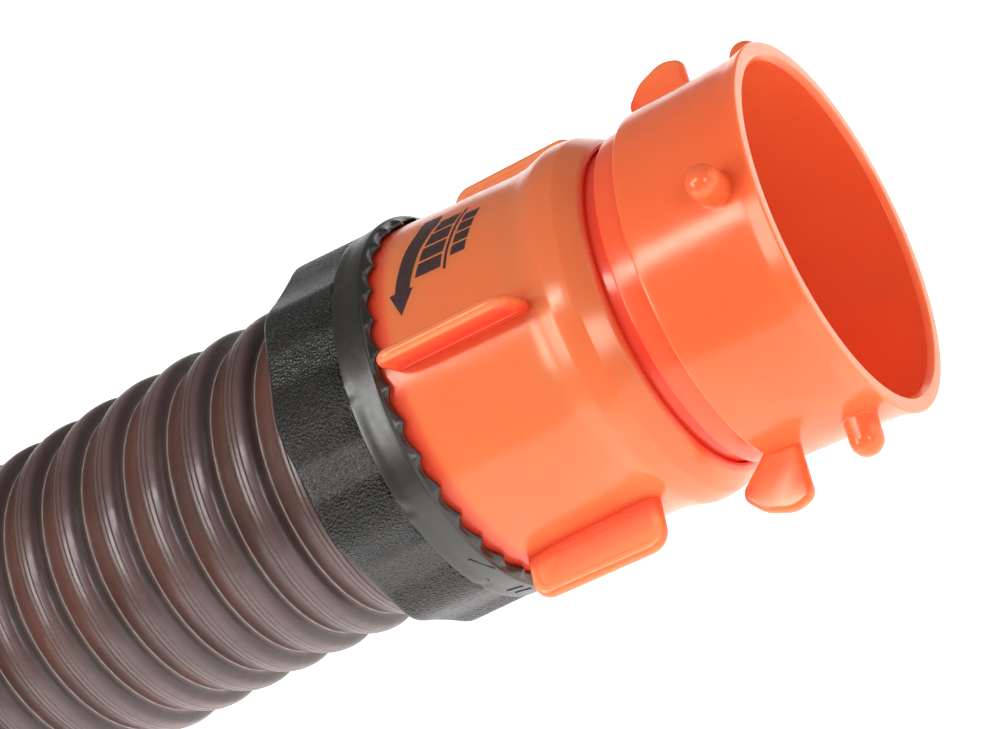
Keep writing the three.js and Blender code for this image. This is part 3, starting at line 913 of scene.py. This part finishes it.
def hose_mesh():
    """The corrugated tube's points, its faces, and the turns of the helix at each point.

    It is fine where it leaves the bayonet fitting, and coarser along the rest.
    """
    curve, lengths = hose_route()
    total = lengths[-1]
    pitch = HOSE_PITCH * MM
    all_turns = total / pitch
    fine = np.arange(FINE_TURNS * FINE_SAMPLES) / FINE_SAMPLES
    coarse = np.linspace(FINE_TURNS, all_turns, round((all_turns - FINE_TURNS) * COARSE_SAMPLES))
    tangents = np.gradient(curve, lengths, axis=0)
    tangents /= np.linalg.norm(tangents, axis=1)[:, None]
    points, faces, windings, rings = [], [], [], []

    def add_ring(turn, columns, radius=None):
        """A ring of the wall at a turn, or a plain one of a radius."""
        s = min(max(turn * pitch, 0), total)
        centre, ahead = (np.array([np.interp(s, lengths, line) for line in v.T]) for v in (curve, tangents))
        ahead /= np.linalg.norm(ahead)
        side = np.cross(ahead, (0, 0, 1))
        side /= np.linalg.norm(side)
        up = np.cross(side, ahead)
        share = np.arange(columns) / columns
        winding = turn - share + HOSE_PHASE
        r = (convolution(winding) if radius is None else radius + 0 * share) * MM
        r, angle = r[:, None], 2 * math.pi * share[:, None]
        rings.append((sum(count for _, count in rings), columns))
        points.append(centre + np.cos(angle) * r * side + np.sin(angle) * r * up)
        windings.append(winding)

    for turn in fine:
        add_ring(turn, FINE_COLUMNS)
    for turn in coarse:
        add_ring(turn, COARSE_COLUMNS)
    for turn in np.linspace(all_turns, 0, INNER_RINGS):
        add_ring(turn, COARSE_COLUMNS, HOSE_INNER_R)
    for (a, na), (b, nb) in zip(rings, [*rings[1:], rings[0]]):
        faces += joined_rings(a, na, b, nb)
    return np.concatenate(points), faces, np.concatenate(windings)


def joined_rings(a, na, b, nb):
    """The faces between two rings of na and nb points that start at a and b.

    One ring may have several times as many points as the other.
    """
    if na == nb:
        return [(a + j, b + j, b + (j + 1) % na, a + (j + 1) % na) for j in range(na)]
    many, few, n_many, n_few = (a, b, na, nb) if na > nb else (b, a, nb, na)
    ratio = n_many // n_few
    faces = []
    for j in range(n_few):
        fan = [many + (j * ratio + m) % n_many for m in range(ratio + 1)]
        here, following = few + j, few + (j + 1) % n_few
        half = ratio // 2
        faces += [(fan[m], here, fan[m + 1]) for m in range(half)]
        faces.append((fan[half], here, following))
        faces += [(fan[m], following, fan[m + 1]) for m in range(half, ratio)]
    if na < nb:
        faces = [tuple(reversed(face)) for face in faces]
    return faces


def hose_piece():
    """The hose, with the angle of its winding stored as a sine and a cosine for the material."""
    points, faces, windings = hose_mesh()
    thing = raw_object("corrugated_hose", (points, faces))
    mesh = thing.data
    corners = points[[face[:3] for face in faces]]
    inwards = np.einsum("ij,ij->i", corners[:, 0], np.cross(corners[:, 1], corners[:, 2])).sum() < 0
    if inwards:
        mesh.flip_normals()
    set_attribute(mesh, "winding_sin", np.sin(windings * 2 * math.pi))
    set_attribute(mesh, "winding_cos", np.cos(windings * 2 * math.pi))
    mesh.polygons.foreach_set("use_smooth", [True] * len(mesh.polygons))
    mesh.materials.append(HOSE_VINYL)
    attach(thing, "hose")
    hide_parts("hose_front_run", "hose_fold", "hose_back_run", "bayonet_hose_end", "lug_hose_end")
    return thing


# ---- Materials ----


class Surface:
    """A Principled material and the few nodes that its colour, gloss and bump need."""

    def __init__(self, name, **inputs):
        self.material = bpy.data.materials.new(name)
        self.material.use_nodes = True
        self.tree = self.material.node_tree
        self.shader = self.tree.nodes["Principled BSDF"]
        for key, value in inputs.items():
            self.shader.inputs[key.replace("_", " ")].default_value = value

    def node(self, kind, inputs=(), **settings):
        """A new node, with its inputs linked or set."""
        made = self.tree.nodes.new(f"ShaderNode{kind}")
        for key, value in settings.items():
            setattr(made, key, value)
        for key, value in dict(inputs).items():
            if isinstance(value, bpy.types.NodeSocket):
                self.tree.links.new(value, made.inputs[key])
            else:
                made.inputs[key].default_value = value
        return made

    def place(self):
        """Metres in the piece's own space."""
        return self.node("TexCoord").outputs["Object"]

    def noise(self, scale, detail, distortion=0.0):
        inputs = {"Scale": scale, "Detail": detail, "Roughness": 0.55, "Distortion": distortion}
        inputs["Vector"] = self.place()
        return self.node("TexNoise", inputs).outputs["Fac"]

    def attribute(self, name):
        return self.node("Attribute", attribute_name=name).outputs["Fac"]

    def ramp(self, value, low, high, to_low=0.0, to_high=1.0):
        """to_low at low, to_high at high, and even between them."""
        inputs = {"Value": value, "From Min": low, "From Max": high, "To Min": to_low, "To Max": to_high}
        return self.node("MapRange", inputs).outputs["Result"]

    def near(self, value, centre, reach):
        """1 where a value is at the centre, falling evenly to 0 at a reach from it."""
        away = self.node("Math", {0: value, 1: centre}, operation="SUBTRACT").outputs["Value"]
        away = self.node("Math", {0: away}, operation="ABSOLUTE").outputs["Value"]
        return self.ramp(away, 0.0, reach, 1.0, 0.0)

    def times(self, a, b):
        return self.node("Math", {0: a, 1: b}, operation="MULTIPLY").outputs["Value"]

    def plus(self, a, b):
        return self.node("Math", {0: a, 1: b}, operation="ADD").outputs["Value"]

    def mix(self, share, first, second):
        """The first colour where the share is 0, and the second where it is 1."""
        first, second = (c if isinstance(c, bpy.types.NodeSocket) else (*c, 1) for c in (first, second))
        # A Mix node's colours are its inputs 6 and 7, and the mixed colour is its output 2.
        return self.node("Mix", {0: share, 6: first, 7: second}, data_type="RGBA").outputs[2]

    def bump(self, height, distance, strength=1.0, normal=None):
        inputs = {"Height": height, "Distance": distance, "Strength": strength}
        if normal:
            inputs["Normal"] = normal
        return self.node("Bump", inputs).outputs["Normal"]

    def set(self, key, value):
        self.tree.links.new(value, self.shader.inputs[key])

    def roughen(self, scale, detail, low, high):
        """Lets the roughness wander between two values."""
        self.set("Roughness", self.ramp(self.noise(scale, detail), 0.3, 0.7, low, high))


def orange_plastic(name, main, painted_shade, pale_and_painted_light):
    """A thick translucent moulding, with painted light that makes its thin edges paler and painted shade
    that deepens it to red in its corners.
    """
    surface = Surface(
        name,
        IOR=1.49,
        Specular_Tint=(1.0, 0.93, 0.75, 1),
        Subsurface_Weight=0.7,
        Subsurface_Scale=0.006,
        Subsurface_Radius=(1.0, 0.2, 0.07),
    )
    cloud = surface.ramp(surface.noise(22, 3), 0.35, 0.65)
    colour = surface.mix(surface.times(cloud, 0.14), main, pale_and_painted_light)
    # Painted light: paler on thin edges, on the mouth face and on the tops of the fins.
    colour = surface.mix(surface.attribute("pale_and_painted_light"), colour, pale_and_painted_light)
    # Painted shade: deeper red in corners and grooves, next to the ring and under the fins.
    colour = surface.mix(surface.attribute("painted_shade"), colour, painted_shade)
    surface.set("Base Color", colour)
    surface.roughen(260, 2, 0.17, 0.25)
    surface.set("Normal", surface.bump(surface.noise(34, 1), 0.0004, 0.5))
    return surface.material


def ring_plastic():
    """Black moulding: leather grain on the grip's crests, smooth elsewhere."""
    surface = Surface("ring_plastic", IOR=1.5, Specular_IOR_Level=0.72)
    cells = {"Vector": surface.place(), "Scale": 1050.0, "Randomness": 1.0}
    cells = surface.node("TexVoronoi", cells, feature="DISTANCE_TO_EDGE").outputs["Distance"]
    pebbles = surface.ramp(cells, 0.0, 0.4)
    grain = surface.plus(pebbles, surface.times(surface.noise(1500, 3), 1.6))
    grain = surface.times(surface.attribute("grain"), grain)
    soft = surface.bump(surface.noise(60, 2), 0.0004, 0.4)
    surface.set("Normal", surface.bump(grain, 0.0009, 1.0, soft))
    shade = surface.ramp(surface.noise(45, 4), 0.3, 0.7)
    surface.set("Base Color", surface.mix(shade, (0.009, 0.0076, 0.0058), (0.018, 0.0152, 0.0120)))
    surface.roughen(500, 3, 0.29, 0.36)
    return surface.material


def hose_vinyl():
    """Smoky brown translucent vinyl, with a seam in each valley that carries a painted highlight, painted
    shade on the steep side of each valley, and two fine lines on each crest.
    """
    surface = Surface(
        "hose_vinyl",
        IOR=1.5,
        Specular_IOR_Level=0.65,
        Subsurface_Weight=0.25,
        Subsurface_Scale=0.004,
        Subsurface_Radius=(1.0, 0.55, 0.45),
    )
    winding = {0: surface.attribute("winding_sin"), 1: surface.attribute("winding_cos")}
    angle = surface.node("Math", winding, operation="ARCTAN2").outputs["Value"]
    from_seam = surface.times(angle, 1 / (2 * math.pi))
    across = surface.node("Math", {0: from_seam}, operation="FRACT").outputs["Value"]
    seam_painted_highlight = surface.near(from_seam, 0.0, 0.014)
    grooves = surface.plus(surface.near(across, 0.31, 0.02), surface.near(across, 0.42, 0.02))
    flat = surface.times(surface.ramp(across, 0.5, 0.56), surface.ramp(across, 0.985, 0.965))
    steep = surface.times(surface.ramp(across, 0.02, 0.05), surface.ramp(across, 0.2, 0.1))
    streak = surface.ramp(surface.noise(30, 4), 0.35, 0.65)
    mauve = surface.mix(streak, (0.082, 0.043, 0.038), (0.122, 0.068, 0.061))
    brown = surface.mix(streak, (0.056, 0.023, 0.016), (0.090, 0.039, 0.028))
    colour = surface.mix(flat, mauve, brown)
    # Painted shade: the steep side going down into each valley is darkened.
    colour = surface.mix(surface.times(steep, 0.75), colour, (0.036, 0.018, 0.013))
    blush = surface.ramp(surface.noise(15, 2), 0.48, 0.7, 0.0, 0.45)
    blush = surface.times(blush, surface.ramp(across, 0.4, 0.6))
    colour = surface.mix(blush, colour, (0.15, 0.045, 0.034))
    colour = surface.mix(surface.times(grooves, 0.35), colour, (0.034, 0.022, 0.018))
    # Painted highlight: a thin pale line along the seam in each valley.
    colour = surface.mix(surface.times(seam_painted_highlight, 0.85), colour, (0.62, 0.55, 0.52))
    surface.set("Base Color", colour)
    surface.roughen(300, 3, 0.29, 0.38)
    waves = surface.bump(surface.noise(120, 2), 0.0006, 0.5)
    edges = surface.bump(flat, -0.0002, 1.0, waves)
    drawn = surface.bump(grooves, -0.0003, 1.0, edges)
    surface.set("Normal", surface.bump(seam_painted_highlight, 0.0002, 1.0, drawn))
    return surface.material


def black_rubber():
    """Dull black rubber with a little dust."""
    surface = Surface("seal_rubber", Roughness=0.8, IOR=1.5)
    dust = surface.ramp(surface.noise(240, 4), 0.45, 0.75, 0.0, 0.5)
    surface.set("Base Color", surface.mix(dust, (0.014, 0.014, 0.013), (0.045, 0.043, 0.04)))
    surface.set("Normal", surface.bump(surface.noise(3000, 2), 0.00004, 0.6))
    return surface.material


def spring_steel():
    """Brushed steel wire."""
    surface = Surface("spring_steel", Metallic=1.0)
    brushed = surface.noise(420, 3, distortion=0.3)
    surface.set("Base Color", surface.mix(brushed, (0.42, 0.43, 0.44), (0.62, 0.63, 0.64)))
    surface.set("Roughness", surface.ramp(brushed, 0.3, 0.7, 0.22, 0.4))
    surface.set("Normal", surface.bump(surface.noise(1800, 2), 0.00003, 0.6))
    return surface.material


def clamp_nylon():
    """Undyed nylon."""
    surface = Surface("clamp_nylon", IOR=1.53, Subsurface_Weight=0.3, Subsurface_Scale=0.003)
    cloud = surface.noise(90, 3)
    surface.set("Base Color", surface.mix(cloud, (0.58, 0.54, 0.46), (0.70, 0.66, 0.58)))
    surface.roughen(500, 3, 0.42, 0.56)
    surface.set("Normal", surface.bump(surface.noise(1500, 2), 0.00005, 0.5))
    return surface.material


def print_ink():
    """Dark ink, worn thin in specks."""
    surface = Surface("print_ink", IOR=1.45)
    worn = surface.ramp(surface.noise(700, 4), 0.55, 0.8, 0.0, 0.35)
    surface.set("Base Color", surface.mix(worn, (0.045, 0.020, 0.022), (0.20, 0.06, 0.035)))
    surface.roughen(600, 3, 0.38, 0.55)
    surface.set("Normal", surface.bump(surface.noise(2400, 2), 0.00002, 0.5))
    return surface.material


# The deep colours are painted shade; the pale colours serve both as random tone and as painted light.
BODY_PLASTIC = orange_plastic(
    "body_plastic", main=(0.77, 0.174, 0.057), painted_shade=(0.80, 0.062, 0.028), pale_and_painted_light=(0.86, 0.33, 0.14)
)
SWIVEL_PLASTIC = orange_plastic(
    "swivel_plastic", main=(0.85, 0.145, 0.043), painted_shade=(0.84, 0.062, 0.028), pale_and_painted_light=(0.88, 0.33, 0.14)
)
RING_PLASTIC = ring_plastic()
HOSE_VINYL = hose_vinyl()
SEAL_RUBBER = black_rubber()
SPRING_STEEL = spring_steel()
CLAMP_NYLON = clamp_nylon()
PRINT_INK = print_ink()

# ---- Assembly ----

bayonet = Fitting("bayonet", "bayonet_barrel")
lug = Fitting("lug", "lug_coupling")

hose = hose_piece()
barrel = barrel_piece(bayonet)
coupling = coupling_piece(lug)
body_print(bayonet)
rubber_ring(lug, "lug_face_gasket", "lug_swivel", FACE_GASKET, GASKET_BEAD)

on_far_end = [coupling]
for fitting in (bayonet, lug):
    end = fitting.end
    made = [
        body_piece(fitting),
        ring_piece(fitting),
        retaining_ring_piece(fitting),
        rubber_ring(fitting, f"{end}_swivel_seal", "hose", SWIVEL_SEAL),
        rubber_ring(fitting, f"{end}_hose_gasket", "hose", HOSE_GASKET),
        clamp_piece(fitting, "upper", 0),
        clamp_piece(fitting, "lower", 180),
    ]
    if fitting is lug:
        on_far_end += made

curve, lengths = hose_route()

# ---- Studio ----

FLOOR_GLOW = 1.08
FLOOR_REACH = 30.0
SKY = 0.24
FITTING_PLACE = (0, 0, 0.05)
# Each light's name, place, aim, width, height and power.
SOFTBOXES = [
    ("key_light", (-0.3, -0.39, 0.83), FITTING_PLACE, 0.42, 0.14, 2.8),
    ("side_light", (-0.78, -0.5, 0.64), (-0.1, 0, 0.05), 0.34, 0.6, 5.2),
    ("camera_light", (0.64, -0.64, 0.5), FITTING_PLACE, 0.26, 0.3, 2.2),
    ("front_light", (0.95, 0.1, 0.35), FITTING_PLACE, 0.5, 0.6, 1.6),
]


def add_floor():
    """A pale floor that glows a little, so that it is white behind the object."""
    a = FLOOR_REACH
    floor = raw_object("floor", (np.array([(-a, -a, 0), (a, -a, 0), (a, a, 0), (-a, a, 0)]), [(0, 1, 2, 3)]))
    surface = Surface("floor", Roughness=0.7, Emission_Color=(1, 1, 1, 1), Emission_Strength=FLOOR_GLOW)
    tone = surface.ramp(surface.noise(3, 2), 0.3, 0.7)
    surface.set("Base Color", surface.mix(tone, (0.86, 0.86, 0.86), (0.89, 0.89, 0.89)))
    floor.data.materials.append(surface.material)


def add_softbox(name, place, aim, width, height, power):
    """A rectangular light that faces its aim, with its width level and along X."""
    light = bpy.data.lights.new(name, "AREA")
    light.shape = "RECTANGLE"
    light.size, light.size_y = width, height
    light.energy = power
    thing = bpy.data.objects.new(name, light)
    bpy.context.scene.collection.objects.link(thing)
    thing.location = place
    back = (Vector(place) - Vector(aim)).normalized()
    along = (Vector((1, 0, 0)) - back * back.x).normalized()
    thing.rotation_mode = "QUATERNION"
    thing.rotation_quaternion = Matrix((along, back.cross(along), back)).transposed().to_quaternion()


def add_studio():
    """The floor, an even white sky and the soft lights."""
    add_floor()
    world = bpy.data.worlds.new("studio")
    bpy.context.scene.world = world
    world.use_nodes = True
    sky = world.node_tree.nodes["Background"].inputs
    sky["Color"].default_value = (1, 1, 1, 1)
    sky["Strength"].default_value = SKY
    for softbox in SOFTBOXES:
        add_softbox(*softbox)


add_studio()
bpy.context.scene.view_settings.view_transform = "Standard"
